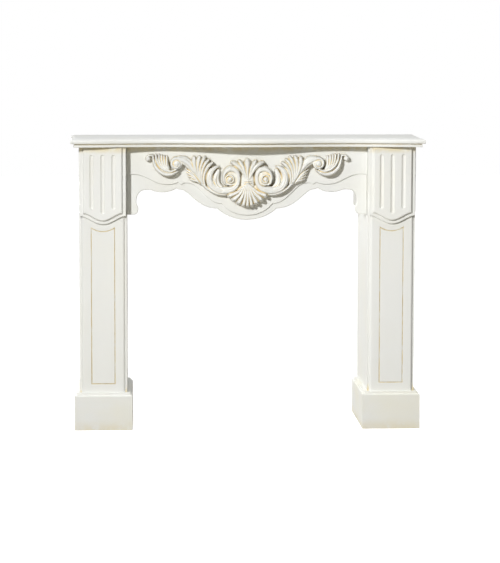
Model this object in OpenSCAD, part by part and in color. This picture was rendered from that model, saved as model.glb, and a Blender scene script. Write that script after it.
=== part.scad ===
// Fireplace mantelpiece: a serpentine shelf on two legs, with a shaped frieze that
// carries one cast ornament. The wall is at the back, the front faces -Y.

/* [Overall] */
// Height from the floor to the top of the shelf
overall_h = 1020; // [900:5:1250]
// Depth from the wall to the front edge of the shelf at its corners
overall_d = 370; // [310:5:450]
// Clear width between the two legs
opening_w = 842; // [700:2:1020]

/* [Shelf] */
// Thickness of the shelf with its mouldings
shelf_t = 30; // [26:1:40]
// How far the shelf runs past the outer face of a leg
shelf_past_leg = 27; // [15:1:40]
// How far the front edge draws back at its two waists
waist_in = 40; // [10:1:50]
// How far the front edge draws back in the middle
middle_in = 6; // [0:1:20]
// Distance of each waist from the middle
waist_x = 306; // [240:2:380]
// Radius of the rounded front edge
nose_r = 5.5; // [4:0.5:7]
// How far the lower band stands back from the front edge
band_in = 10; // [7:0.5:14]
// Height of the lower band
band_h = 8; // [5:0.5:10]
// How far the top slopes in above the rounded edge
slope_in = 11; // [4:1:16]
// How far the ends of the shelf curve in
end_hollow = 5; // [0:1:8]
// How far the back corners flare out
end_flare = 16; // [0:1:24]

/* [Legs] */
// Width of a leg
leg_w = 165; // [140:1:200]
// Thickness of the boards
board_t = 18; // [15:1:25]
// Thickness of the front board at its raised face
front_board_t = 22; // [20:1:30]
// How far the raised face of a leg stands back from the shelf's front edge
shaft_in = 58; // [50:1:75]
// Width of the flat border of the front board
fillet_w = 7; // [4:0.5:12]
// Height of the raised face above that border
raise_h = 7; // [4:0.5:10]
// Width of the rounded edge of the raised face
ovolo_w = 9; // [5:0.5:14]
// Width of the grooved panel line
panel_w = 81; // [60:1:100]
// Height of the panel line's lower end above the plinth
panel_from = 31; // [20:1:60]
// Distance from the shelf down to the panel line's upper corners
panel_drop = 281; // [276:1:320]
// Sag of the panel line's upper end
panel_sag = 13; // [6:1:20]
// Width of the groove
groove_w = 4.5; // [3:0.5:6]
// Depth of the groove
groove_d = 3; // [2:0.5:4]

/* [Plinths] */
// How far a plinth runs past each side of its leg
plinth_past_leg = 18.5; // [10:0.5:30]
// Height of a plinth
plinth_h = 131; // [100:1:180]
// How far a plinth's front stands back from the shelf's front edge
plinth_in = 40; // [30:1:48]
// Height of the ledge over a plinth's moulding
ledge_h = 7; // [4:0.5:12]
// Height of the rounded moulding
moulding_h = 8; // [5:0.5:12]
// Width of the rounded moulding
moulding_w = 7.5; // [5:0.5:8]

/* [Capitals] */
// How far the backing block stands in from each side of its leg
capital_side = 2.5; // [0:0.5:10]
// Thickness of the backing block
backing_t = 9; // [6:0.5:14]
// How far the fluted plate stands in from each side of the backing block
plate_side = 13.5; // [6:0.5:18]
// Thickness of the fluted plate
plate_t = 9; // [8:0.5:14]
// Width of the plate's rounded edge
plate_edge = 6; // [3:0.5:8]
// Distance from the shelf down to the backing's lower edge at its sides
backing_drop = 239; // [220:1:260]
// How much lower the backing's edge hangs in the middle
backing_sag = 29; // [15:1:36]
// Distance from the shelf down to the plate's lower edge at its sides
plate_drop = 230.5; // [210:0.5:236]
// How much lower the plate's edge hangs in the middle
plate_sag = 26; // [12:1:32]
// Width of a flute
flute_w = 16.5; // [10:0.5:20]
// Depth of a flute
flute_d = 6; // [3:0.5:7]
// Distance between the flutes
flute_pitch = 38; // [28:1:44]
// Distance from the shelf down to the flutes' upper ends
flute_from = 26; // [15:1:40]
// Distance from the shelf down to the outer flutes' lower ends
flute_to = 216; // [180:1:220]
// How much lower the middle flute ends
flute_sag = 16.5; // [8:0.5:22]

/* [Frieze] */
// How far the frieze's face stands back from the shelf's front edge
frieze_in = 100; // [90:1:120]
// Thickness of the frieze board
frieze_t = 22; // [18:1:28]
// Height of its raised field
field_h = 5; // [3:0.5:8]
// Thickness of the battens behind the frieze
batten_t = 17.5; // [15:0.5:22]
// Height of the battens
batten_h = 226; // [150:1:260]

/* [Ornament] */
// Distance from the shelf down to the ornament's centre line
ornament_drop = 119.3; // [112:0.1:126]
// Greatest depth of the leaves
leaf_h = 38; // [20:1:44]
// Radius of the great scrolls' eyes
great_eye_r = 18; // [10:0.5:20]
// Radius of the small scrolls' eyes
small_eye_r = 10; // [7:0.5:12]
// Number of shell ribs on each side of the middle one
shell_ribs = 4; // [2:1:4]
// Angle between the shell's ribs
shell_step = 13.5; // [12:0.5:20]

/* [Hidden] */

paint = "#efeee4";
patina = "#e6dfc8";

// How far a cut runs past a face, and how far two shapes of one piece overlap
eps = 1;
lap = 0.1;

// Levels and planes that the pieces share
front_y = -overall_d / 2;
wall_y = overall_d / 2;
top_z = overall_h - shelf_t;
plinth_y = front_y + plinth_in;
shaft_y = front_y + shaft_in;
leg_back_y = shaft_y + front_board_t;
frieze_y = front_y + frieze_in;
field_y = frieze_y - field_h;
half_opening = opening_w / 2;
leg_x = half_opening + leg_w / 2;
half_shelf = half_opening + leg_w + shelf_past_leg;
plinth_w = leg_w + 2 * plinth_past_leg;
capital_w = leg_w - 2 * capital_side;
plate_w = capital_w - 2 * plate_side;

// The frieze's curves are drawn for this half width and stretch with the opening
drawn_half = 421;
stretch = half_opening / drawn_half;

// Curves
function mix(a, b, t) = a + (b - a) * t;
function quad(a, b, c, t) = mix(mix(a, b, t), mix(b, c, t), t);
function cubic(a, b, c, d, t) = mix(quad(a, b, c, t), quad(b, c, d, t), t);
function quad_path(a, b, c, n) = [for (i = [0:n - 1]) quad(a, b, c, i / n)];
function cubic_path(a, b, c, d, n) = [for (i = [0:n - 1]) cubic(a, b, c, d, i / n)];
function reverse(list) = [for (i = [len(list) - 1:-1:0]) list[i]];

// A closed skin over rings that all have the same number of points. Each end is
// closed by a fan of triangles round the middle of its ring.
function middle(ring) = [for (k = [0:2])
    (min([for (p = ring) p[k]]) + max([for (p = ring) p[k]])) / 2];

module skin(rings) {
    n = len(rings[0]);
    last = (len(rings) - 1) * n;
    first_hub = last + n;
    points = concat([for (ring = rings) each ring],
        [middle(rings[0]), middle(rings[len(rings) - 1])]);
    sides = [for (r = [0:len(rings) - 2], i = [0:n - 1])
        let (a = r * n + i, b = r * n + (i + 1) % n)
        each [[a, b + n, b], [a, a + n, b + n]]];
    caps = [for (i = [0:n - 1])
        let (j = (i + 1) % n)
        each [[first_hub, i, j], [first_hub + 1, last + j, last + i]]];
    polyhedron(points, concat(sides, caps));
}

// Shelf: level outlines stacked up its edge profile
front_steps = 48;
end_steps = 6;

function draw_back(x) = abs(x) < waist_x
    ? mix(middle_in, waist_in, (1 - cos(180 * abs(x) / waist_x)) / 2)
    : mix(waist_in, 0, (1 - cos(180 * (abs(x) - waist_x) / (half_shelf - waist_x))) / 2);

function end_x(t) = half_shelf - end_hollow * sin(180 * sqrt(t)) + end_flare * t;

function end_line(inset) = [for (i = [0:end_steps])
    let (t = i / end_steps)
    [end_x(t) - inset, mix(front_y + inset, wall_y, t)]];

function front_line(inset) = [for (i = [1:front_steps - 1])
    let (x = mix(-half_shelf, half_shelf, i / front_steps))
    [x * (1 - inset / half_shelf), front_y + draw_back(x) + inset]];

function shelf_outline(inset) = concat(
    [for (p = reverse(end_line(inset))) [-p[0], p[1]]],
    front_line(inset),
    end_line(inset));

nose_z = shelf_t - 4 - nose_r;
shelf_profile = concat(
    [[band_in + 1, 0], [band_in, 1.5], [band_in, band_h], [band_in + 2.5, band_h + 0.5]],
    [[band_in + 2.5, band_h + 4], [band_in + 0.5, nose_z - nose_r - 0.5]],
    [for (a = [-90:30:90]) [nose_r - nose_r * cos(a), nose_z + nose_r * sin(a)]],
    [[nose_r + slope_in, shelf_t]]);

module shelf() {
    color(paint)
        skin([for (p = shelf_profile)
            [for (q = shelf_outline(p[0])) [q[0], q[1], top_z + p[1]]]]);
}

// Frieze: half outlines from the middle outwards, as [across, height below the shelf]
cut_half = concat(
    quad_path([0, 258.3], [60, 258.3], [105, 218.5], 10),
    cubic_path([105, 218.5], [175, 218], [200, 156], [232, 152], 12),
    quad_path([232, 152], [240, 152], [247.5, 148], 3),
    quad_path([247.5, 148], [268, 161.4], [295, 161.2], 6),
    quad_path([295, 161.2], [318, 161.2], [336, 153.3], 5),
    quad_path([336, 153.3], [345, 151], [357, 152.9], 4),
    quad_path([357, 152.9], [383, 155], [387, 190], 7),
    quad_path([387, 190], [387, 204], [380.5, 213], 4),
    quad_path([380.5, 213], [378.5, 238], [398, 239.3], 7),
    [[398, 239.3], [drawn_half, 239.3]]);

border_half = concat(
    quad_path([0, 241.4], [55, 241.4], [89, 201], 8),
    cubic_path([89, 201], [150, 198], [165, 126], [215, 128], 12),
    [[215, 128], [224, 129], [230, 134.6], [242.5, 125.8]],
    quad_path([242.5, 125.8], [255, 133.5], [280, 133.5], 5),
    cubic_path([280, 133.5], [330, 133.5], [350, 98], [399, 97.5], 12),
    quad_path([399, 97.5], [412, 97.5], [drawn_half, 102], 3),
    [[drawn_half, 102]]);

// Both halves of a board that hangs down to a half outline
module hanging_board(half, back_y, thick) {
    right = [for (p = half) [p[0] * stretch, top_z - p[1]]];
    left = [for (i = [len(half) - 1:-1:1]) [-right[i][0], right[i][1]]];
    upper = [[half_opening, top_z], [-half_opening, top_z]];
    translate([0, back_y, 0])
        rotate([90, 0, 0])
            linear_extrude(thick)
                polygon(concat(left, right, upper));
}

module frieze() {
    color(paint)
        union() {
            hanging_board(cut_half, frieze_y + frieze_t, frieze_t);
            hanging_board(border_half, frieze_y + eps, field_h + eps);
        }
}

// Legs
module cheek(inner_x) {
    color(paint)
        translate([inner_x, leg_back_y, plinth_h])
            cube([board_t, wall_y - leg_back_y, top_z - plinth_h]);
}

// Cross-section of the front board, its back at y = 0 and its face at -front_board_t
module front_board_section() {
    half = leg_w / 2;
    raised = half - fillet_w - ovolo_w;
    edge = [for (a = [0:15:90])
        [raised + ovolo_w * cos(a), -front_board_t + raise_h * (1 - sin(a))]];
    right = concat([[half, 0], [half, -front_board_t + raise_h]], edge);
    polygon(concat(right, [for (p = reverse(right)) [-p[0], p[1]]]));
}

// V-shaped cutter along Z, its point at depth groove_d behind y = 0
module groove(length) {
    wide = groove_w / 2 * (1 + eps / groove_d);
    linear_extrude(length)
        polygon([[-wide, -eps], [wide, -eps], [0, groove_d]]);
}

module panel_line() {
    low = plinth_h + panel_from;
    high = top_z - panel_drop;
    half = panel_w / 2;
    wide = groove_w / 2 * (1 + eps / groove_d);
    arc_r = (half * half + panel_sag * panel_sag) / (2 * panel_sag);
    swing = asin(half / arc_r);
    for (x = [-half, half])
        translate([x, 0, low])
            groove(high - low);
    translate([-half, 0, low])
        rotate([0, 90, 0])
            groove(panel_w);
    translate([0, 0, high - panel_sag + arc_r])
        rotate([90, 0, 0])
            rotate([0, 0, 270 - swing])
                rotate_extrude(angle = 2 * swing, $fn = 96)
                    polygon([[arc_r - wide, eps], [arc_r + wide, eps], [arc_r, -groove_d]]);
}

// Height from which the front board is plain, hidden by the capital
plain_z = top_z - backing_drop + 12;

module pilaster_front(x) {
    color(paint)
        translate([x, 0, 0])
            difference() {
                union() {
                    translate([0, leg_back_y, plinth_h])
                        linear_extrude(top_z - plinth_h)
                            front_board_section();
                    translate([-leg_w / 2, shaft_y, plain_z])
                        cube([leg_w, front_board_t, top_z - plain_z]);
                }
                translate([0, shaft_y, 0])
                    panel_line();
            }
}

// Plinth: three walls and a top board, open below and towards the wall
module plinth(x) {
    face_h = plinth_h - ledge_h - moulding_h;
    depth = wall_y - plinth_y;
    steps = 3;
    color(paint)
        translate([x, 0, 0])
            difference() {
                union() {
                    translate([-plinth_w / 2, plinth_y, 0])
                        cube([plinth_w, depth, face_h]);
                    for (i = [0:steps - 1])
                        hull()
                            for (a = [90 * i / steps, 90 * (i + 1) / steps])
                                plinth_slab(moulding_w * (1 - cos(a)), face_h - lap,
                                    moulding_h * sin(a) + lap);
                    plinth_slab(moulding_w, face_h, moulding_h + ledge_h);
                }
                translate([-plinth_w / 2 + board_t, plinth_y + board_t, -eps])
                    cube([plinth_w - 2 * board_t, depth, plinth_h - board_t + eps]);
            }
}

module plinth_slab(inset, low, high) {
    translate([-plinth_w / 2 + inset, plinth_y + inset, low])
        cube([plinth_w - 2 * inset, wall_y - plinth_y - inset, high]);
}

// Capital: a backing block and a fluted plate, both ending in a hanging ogee
ogee_steps = 16;
ogee_power = 0.85;

function ogee_edge(width, drop, sag, inset) = [for (i = [0:2 * ogee_steps])
    let (t = i / ogee_steps - 1)
    let (hang = pow((1 + cos(180 * t)) / 2, ogee_power))
    [t * (width / 2 - inset), top_z - drop - sag * hang + inset]];

function capital_outline(width, drop, sag, inset) = concat(
    ogee_edge(width, drop, sag, inset),
    [[width / 2 - inset, top_z], [-width / 2 + inset, top_z]]);

module flute(x) {
    r = (flute_w * flute_w / 4 + flute_d * flute_d) / (2 * flute_d);
    high = top_z - flute_from - flute_w / 2;
    low = top_z - flute_to - (x == 0 ? flute_sag : 0) + flute_w / 2;
    translate([x, shaft_y - backing_t - plate_t - r + flute_d, 0]) {
        translate([0, 0, low])
            cylinder(h = high - low, r = r, $fn = 48);
        for (z = [low, high])
            translate([0, 0, z])
                sphere(r = r, $fn = 48);
    }
}

module capital(x) {
    backing_y = shaft_y - backing_t;
    round_steps = 3;
    edge = concat([[0, 0], [0, plate_t - plate_edge]],
        [for (a = [30:90 / round_steps:90])
            [plate_edge * (1 - cos(a)), plate_t - plate_edge + plate_edge * sin(a)]]);
    color(paint)
        translate([x, 0, 0])
            difference() {
                union() {
                    translate([0, shaft_y, 0])
                        rotate([90, 0, 0])
                            linear_extrude(backing_t)
                                polygon(capital_outline(capital_w, backing_drop, backing_sag, 0));
                    skin([for (e = edge)
                        [for (p = capital_outline(plate_w, plate_drop, plate_sag, e[0]))
                            [p[0], backing_y - e[1], p[1]]]]);
                }
                for (i = [-1:1])
                    flute(i * flute_pitch);
            }
}

// Batten behind the frieze, on the inner face of a leg
module batten(inner_x) {
    color(paint)
        translate([inner_x, frieze_y + frieze_t, top_z - batten_h])
            cube([batten_t, wall_y - frieze_y - frieze_t, batten_h]);
}

// Ornament. A point is [across from the middle, up from the centre line]. A stroke
// is a row of stations [across, up, half width, height above the field].
function smooth(points, t) =
    let (last = len(points) - 1, s = min(t * last, last - 0.0001), i = floor(s), f = s - i)
    let (a = points[max(i - 1, 0)], b = points[i], c = points[i + 1], d = points[min(i + 2, last)])
    b + 0.5 * f * (c - a + f * (2 * a - 5 * b + 4 * c - d + f * (3 * (b - c) + d - a)));

// Value that starts at v[0], is v[1] halfway and ends at v[2]
function through(v, t) = v[0] * (1 - t) * (1 - 2 * t) + 4 * v[1] * t * (1 - t) + v[2] * t * (2 * t - 1);

function stroke(points, widths, heights, n) = [for (i = [0:n])
    let (t = i / n, p = smooth(points, t))
    [p[0], p[1], max(through(widths, t), 1), through(heights, t)]];

function spiral(centre, r, a, widths, heights, n) = [for (i = [0:n])
    let (t = i / n, radius = mix(r[0], r[1], t), angle = mix(a[0], a[1], t))
    [centre[0] + radius * cos(angle), centre[1] + radius * sin(angle),
        through(widths, t), through(heights, t)]];

// Domed cross-section of a stroke at station i, facing along the stroke
function dome_section(s, i) =
    let (a = s[max(i - 1, 0)], b = s[min(i + 1, len(s) - 1)])
    let (dx = b[0] - a[0], dz = b[1] - a[1], size = norm([dx, dz]))
    let (nx = dz / size, nz = -dx / size)
    [for (k = [[-1, 0], [-0.7, 0.75], [0, 1], [0.7, 0.75], [1, 0]])
        [s[i][0] + nx * k[0] * s[i][2], -k[1] * s[i][3], s[i][1] + nz * k[0] * s[i][2]]];

module ridge(s) {
    for (i = [0:len(s) - 2])
        hull()
            polyhedron(concat(dome_section(s, i), dome_section(s, i + 1)),
                [[0, 1, 2, 3, 4], [9, 8, 7, 6, 5], [0, 5, 6, 1], [1, 6, 7, 2], [2, 7, 8, 3],
                    [3, 8, 9, 4], [4, 9, 5, 0]]);
}

// Rounded button, flat side on the field
module button(centre, r, h) {
    translate([centre[0], 0, centre[1]])
        rotate([90, 0, 0])
            hull()
                for (a = [0, 35, 65])
                    cylinder(h = h - 0.6 * r * (1 - sin(a)), r = r * cos(a), $fn = 12);
}

great_eye = [61, 8];
small_eye = [248, 60];
leaf_root = [160, -10];

module great_scroll() {
    ridge(stroke([[102, 58], [128, 36], [135, 3], [120, -27], [82, -37], [48, -28], [32, 0]],
        [2, 16, 9], [12, 29, leaf_h], 12));
    ridge(spiral(great_eye, [30, 25], [195, -60], [9, 11, 6], [leaf_h, leaf_h + 3, leaf_h + 3], 10));
    ridge(spiral(great_eye, [25, 22], [-60, -120], [6, 5, 3], [leaf_h + 3, leaf_h + 1, leaf_h - 2], 3));
    button(great_eye, great_eye_r, leaf_h + 6);
    ridge(stroke([[96, -47], [125, -38], [150, -18], [163, 5]], [2, 5, 3], [12, 20, 14], 5));
}

// Five leaves fanned from the root between the scrolls
module fanned_leaves() {
    tips = [[121, 67], [137, 76], [149, 88], [167, 89], [188, 87]];
    bows = [[148, 30], [157, 32], [161, 36], [170, 38], [177, 36]];
    for (i = [0:len(tips) - 1])
        ridge(stroke([leaf_root + [i * 1.5 - 4, 0], bows[i], tips[i]],
            [2, 6.5, 3], [12, leaf_h - 8, leaf_h - 2], 5));
}

module small_scroll() {
    ridge(stroke([leaf_root + [5, 0], [177, 18], [192, 46], [211, 66], [238, 77]],
        [3, 13, 10], [12, leaf_h - 6, leaf_h - 4], 7));
    ridge(spiral(small_eye, [19, 14], [112, -230], [7, 5, 4], [leaf_h - 4, leaf_h - 3, leaf_h - 2], 10));
    button(small_eye, small_eye_r, leaf_h);
    for (i = [0:2])
        ridge(stroke([[209 - 3.5 * i, 35 - 11.5 * i], [186, 17 - 6 * i], [165, -4 - 2.5 * i]],
            [2, 3.5, 2], [8, 14, 12], 4));
}

// Crescent leaf that curls round the small scroll, with its ribs
module crescent() {
    ridge(stroke([[329, 84], [325, 58], [301, 27], [268, 21], [241, 33]],
        [2, 8, 3], [10, 28, 26], 8));
    ridge(stroke([[316, 86], [311, 62], [289, 36], [262, 32], [248, 35]],
        [2, 6, 3], [10, 24, 26], 6));
    for (i = [0:3])
        ridge(stroke([[305 - 9.5 * i, 88], [302 - 8 * i, 67], [279 - 4.5 * i, 41]],
            [2.5, 4.5, 3], [10, 18, 24], 4));
    ridge(stroke([[330, 84], [339, 90], [350, 83], [346, 73]], [3, 6, 4], [14, 22, 20], 5));
}

module shell_and_plume() {
    for (i = [-shell_ribs:shell_ribs]) {
        a = 270 + shell_step * i;
        far = 82 - 0.4 * i * i;
        ridge([for (t = [0:0.25:1])
            [mix(5, far, t) * cos(a), mix(5, far, t) * sin(a) - 8, mix(2.5, 13, t) - 5 * t * t,
                mix(leaf_h, leaf_h - 10, t)]]);
        button([(far - 2) * cos(a), (far - 2) * sin(a) - 8], 8, leaf_h - 10);
    }
    ridge(stroke([[0, -4], [0, 36], [0, 62], [0, 75]], [4, 9, 4], [24, 30, 26], 5));
    for (s = [-1, 1]) {
        ridge(stroke([[3 * s, -2], [6 * s, 34], [14 * s, 55], [25 * s, 67]],
            [3, 6, 3], [22, 29, 25], 5));
        ridge(stroke([[6 * s, 0], [12 * s, 34], [28 * s, 55], [54 * s, 65]],
            [2, 6, 2], [22, 28, 22], 5));
    }
    ridge(stroke([[-12, -6], [0, -7], [12, -6]], [5, 6, 5], [leaf_h - 2, leaf_h + 2, leaf_h - 2], 2));
}

module ornament_half() {
    great_scroll();
    fanned_leaves();
    small_scroll();
    crescent();
}

module carved_ornament() {
    color(patina)
        translate([0, field_y, top_z - ornament_drop])
            scale(stretch)
                union() {
                    ornament_half();
                    mirror([1, 0, 0])
                        ornament_half();
                    shell_and_plume();
                }
}

shelf();
frieze();
carved_ornament();
plinth(-leg_x);  // left_plinth
plinth(leg_x);  // right_plinth
pilaster_front(-leg_x);  // left_pilaster_front
pilaster_front(leg_x);  // right_pilaster_front
capital(-leg_x);  // left_capital
capital(leg_x);  // right_capital
cheek(-half_opening - board_t);  // left_inner_cheek
cheek(half_opening);  // right_inner_cheek
cheek(-half_opening - leg_w);  // left_outer_cheek
cheek(half_opening + leg_w - board_t);  // right_outer_cheek
batten(-half_opening);  // left_batten
batten(half_opening - batten_t);  // right_batten
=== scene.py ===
"""Looks of a cream painted fireplace mantelpiece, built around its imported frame."""
import math

import bmesh
import bpy
import numpy as np
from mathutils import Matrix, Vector
from mathutils.geometry import delaunay_2d_cdt


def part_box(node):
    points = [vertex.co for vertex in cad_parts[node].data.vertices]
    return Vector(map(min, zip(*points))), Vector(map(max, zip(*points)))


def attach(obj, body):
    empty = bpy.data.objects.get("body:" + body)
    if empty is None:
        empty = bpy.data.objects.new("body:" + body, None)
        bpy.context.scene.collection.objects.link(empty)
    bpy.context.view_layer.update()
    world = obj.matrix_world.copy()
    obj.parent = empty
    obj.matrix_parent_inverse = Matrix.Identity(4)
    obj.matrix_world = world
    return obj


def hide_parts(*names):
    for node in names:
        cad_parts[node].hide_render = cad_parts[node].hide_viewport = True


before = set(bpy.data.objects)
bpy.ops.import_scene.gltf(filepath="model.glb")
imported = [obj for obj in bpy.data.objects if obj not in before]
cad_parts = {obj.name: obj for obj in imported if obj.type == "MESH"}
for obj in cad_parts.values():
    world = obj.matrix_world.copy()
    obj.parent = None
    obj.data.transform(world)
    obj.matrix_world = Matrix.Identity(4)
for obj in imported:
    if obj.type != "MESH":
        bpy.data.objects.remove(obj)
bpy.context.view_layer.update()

# Sizes of pieces are in millimetres and are turned into metres when a mesh is made.
MM = 0.001

# Angles in degrees above which an edge is shaded sharp: on a fresh skin, and after a cut.
SKIN_ANGLE = 35
CUT_ANGLE = 30

# How wide the paint rounds a plain board's edge.
PAINT_EDGE = 0.8

# ------------------------------------------------------------------ sizes from the frame


def corners(node):
    """Lowest and highest corner of a CAD node, in millimetres."""
    low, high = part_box(node)
    return [c / MM for c in low], [c / MM for c in high]


shelf_low, shelf_high = corners("shelf")
frieze_low, frieze_high = corners("frieze")
front_low, front_high = corners("right_pilaster_front")

top_z = shelf_low[2]
wall_y = shelf_high[1]
front_y = shelf_low[1]
half_opening = frieze_high[0]
leg_x = (front_low[0] + front_high[0]) / 2
leg_w = front_high[0] - front_low[0]
shaft_y = front_low[1]
field_y = frieze_low[1]
FIELD_H = 5
frieze_y = field_y + FIELD_H

# ------------------------------------------------------------------ curves and meshes


def mix(a, b, t):
    """From a at t = 0 to b at t = 1."""
    return a + (b - a) * t


def bezier(points, steps):
    """Points along a Bezier curve of any degree, without its last one."""
    row = []
    for i in range(steps):
        level = [np.array(p, float) for p in points]
        while len(level) > 1:
            level = [mix(a, b, i / steps) for a, b in zip(level, level[1:])]
        row.append(tuple(level[0]))
    return row


def add_object(name, data):
    """Puts an object with this data into the scene."""
    thing = bpy.data.objects.new(name, data)
    bpy.context.scene.collection.objects.link(thing)
    return thing


def make_object(name, verts, faces, materials):
    """A mesh object from points in millimetres, smooth but for its sharp edges."""
    mesh = bpy.data.meshes.new(name)
    mesh.from_pydata([tuple(c * MM for c in v) for v in verts], [], faces)
    for material in materials:
        mesh.materials.append(material)
    mesh.validate()
    mesh.shade_smooth()
    mesh.set_sharp_from_angle(angle=math.radians(SKIN_ANGLE))
    return add_object(name, mesh)


def lofted(rings):
    """Points and faces of a closed skin over rings of equally many points."""
    n = len(rings[0])
    verts = [p for ring in rings for p in ring]
    faces = []
    for r in range(len(rings) - 1):
        for i in range(n):
            a, b = r * n + i, r * n + (i + 1) % n
            faces.append((a, b, b + n, a + n))
    last = (len(rings) - 1) * n
    faces += [tuple(range(n - 1, -1, -1)), tuple(range(last, last + n))]
    return verts, faces


def outward(piece):
    """Turns all faces of a closed mesh to point outwards."""
    bm = bmesh.new()
    bm.from_mesh(piece.data)
    bmesh.ops.remove_doubles(bm, verts=bm.verts, dist=1e-6)
    bmesh.ops.recalc_face_normals(bm, faces=bm.faces)
    bm.to_mesh(piece.data)
    bm.free()


def lofted_object(name, rings, materials):
    """A closed object over rings of points, its faces turned outwards."""
    verts, faces = lofted(rings)
    piece = make_object(name, verts, faces, materials)
    outward(piece)
    piece.data.set_sharp_from_angle(angle=math.radians(SKIN_ANGLE))
    return piece


def inset(outline, distance):
    """The closed outline moved inwards; it runs anticlockwise and has no point twice."""
    pts = np.array(outline, float)
    ahead = np.roll(pts, -1, 0) - pts
    ahead /= np.linalg.norm(ahead, axis=1)[:, None]
    behind = np.roll(ahead, 1, 0)
    normal = np.stack([-(ahead + behind)[:, 1], (ahead + behind)[:, 0]], 1)
    normal /= np.maximum(np.linalg.norm(normal, axis=1), 1e-6)[:, None]
    lean = np.maximum((normal * np.stack([-ahead[:, 1], ahead[:, 0]], 1)).sum(1), 0.6)
    return pts + normal * (distance / lean)[:, None]


def combine(piece, others, operation):
    """Joins or cuts a piece with others by Boolean, and deletes the others."""
    for other in others:
        step = piece.modifiers.new(operation.lower(), "BOOLEAN")
        step.operation = operation
        step.solver = "EXACT"
        step.object = other
    graph = bpy.context.evaluated_depsgraph_get()
    mesh = bpy.data.meshes.new_from_object(piece.evaluated_get(graph))
    piece.modifiers.clear()
    piece.data = mesh
    for other in others:
        bpy.data.objects.remove(other, do_unlink=True)


def soften(piece):
    """Rounds the paint over a piece's edges."""
    edge = piece.modifiers.new("paint_edge", "BEVEL")
    edge.width = PAINT_EDGE * MM
    edge.segments = 2
    edge.limit_method = "ANGLE"
    edge.angle_limit = math.radians(SKIN_ANGLE)
    edge.harden_normals = True
    edge.use_clamp_overlap = True


def keep_flats_flat(piece):
    """Lets large flat faces set the shading beside small rounded ones."""
    weigh = piece.modifiers.new("flat_faces", "WEIGHTED_NORMAL")
    weigh.weight = 100
    weigh.keep_sharp = True


def stand_for(piece, slot, *nodes):
    """Shows a finished piece in place of its CAD nodes."""
    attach(piece, "root")
    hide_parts(*nodes)


# ------------------------------------------------------------------ materials

PAINT = (0.785, 0.792, 0.772)
WARM_PAINT = (0.785, 0.765, 0.650)
# this gold-brown is the real patina, and also the colour of the painted shade under the shelf
PATINA_AND_SHADE_TONE = (0.690, 0.560, 0.270)
GOLD = (0.760, 0.585, 0.245)


def new_group(name, inputs, outputs):
    """An empty shader node group with the named sockets."""
    group = bpy.data.node_groups.new(name, "ShaderNodeTree")
    for label, kind, value in inputs:
        socket = group.interface.new_socket(label, in_out="INPUT", socket_type=kind)
        socket.default_value = value
    for label, kind in outputs:
        group.interface.new_socket(label, in_out="OUTPUT", socket_type=kind)
    return group, group.nodes.new("NodeGroupInput"), group.nodes.new("NodeGroupOutput")


def noise(nodes, links, vector, scale, detail, roughness=0.5):
    """Cloudy noise over the vector."""
    node = nodes.new("ShaderNodeTexNoise")
    node.inputs["Scale"].default_value = scale
    node.inputs["Detail"].default_value = detail
    node.inputs["Roughness"].default_value = roughness
    links.new(vector, node.inputs["Vector"])
    return node.outputs["Fac"]


def ramp(nodes, links, value, low, high):
    """Maps value from low..high to 0..1, clamped and smooth."""
    node = nodes.new("ShaderNodeMapRange")
    node.interpolation_type = "SMOOTHSTEP"
    node.inputs["From Min"].default_value = low
    node.inputs["From Max"].default_value = high
    links.new(value, node.inputs["Value"])
    return node.outputs["Result"]


def maths(nodes, links, operation, a, b):
    """Joins two values by an operation; each is a number or a socket."""
    node = nodes.new("ShaderNodeMath")
    node.operation = operation
    for socket, source in zip(node.inputs, (a, b)):
        if isinstance(source, (int, float)):
            socket.default_value = source
        else:
            links.new(source, socket)
    return node.outputs[0]


def colour_mix(nodes, links, factor, a, b):
    """Blends colour a into colour b by the factor."""
    node = nodes.new("ShaderNodeMix")
    node.data_type = "RGBA"
    for socket, source in zip((node.inputs[0], node.inputs[6], node.inputs[7]), (factor, a, b)):
        links.new(source, socket)
    return node.outputs[2]


def brushed_paint_group():
    """Cream paint whose tone drifts a little, and its fine brush marks."""
    group, source, sink = new_group(
        "brushed_paint",
        [("Paint", "NodeSocketColor", (*PAINT, 1)), ("Warm", "NodeSocketColor", (*WARM_PAINT, 1)),
         ("Drift", "NodeSocketFloat", 0.3)],
        [("Color", "NodeSocketColor"), ("Roughness", "NodeSocketFloat"), ("Height", "NodeSocketFloat")])
    nodes, links = group.nodes, group.links
    place = nodes.new("ShaderNodeTexCoord").outputs["Object"]
    stretch = nodes.new("ShaderNodeMapping")
    stretch.inputs["Scale"].default_value = (60, 60, 5)
    links.new(place, stretch.inputs["Vector"])
    cloud = ramp(nodes, links, noise(nodes, links, place, 5, 4), 0.35, 0.75)
    drift = maths(nodes, links, "MULTIPLY", cloud, source.outputs["Drift"])
    links.new(colour_mix(nodes, links, drift, source.outputs["Paint"], source.outputs["Warm"]),
              sink.inputs["Color"])
    brush = noise(nodes, links, stretch.outputs["Vector"], 6, 5, 0.6)
    rough = maths(nodes, links, "MULTIPLY", brush, 0.14)
    links.new(maths(nodes, links, "ADD", rough, 0.36), sink.inputs["Roughness"])
    links.new(brush, sink.inputs["Height"])
    return group


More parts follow.
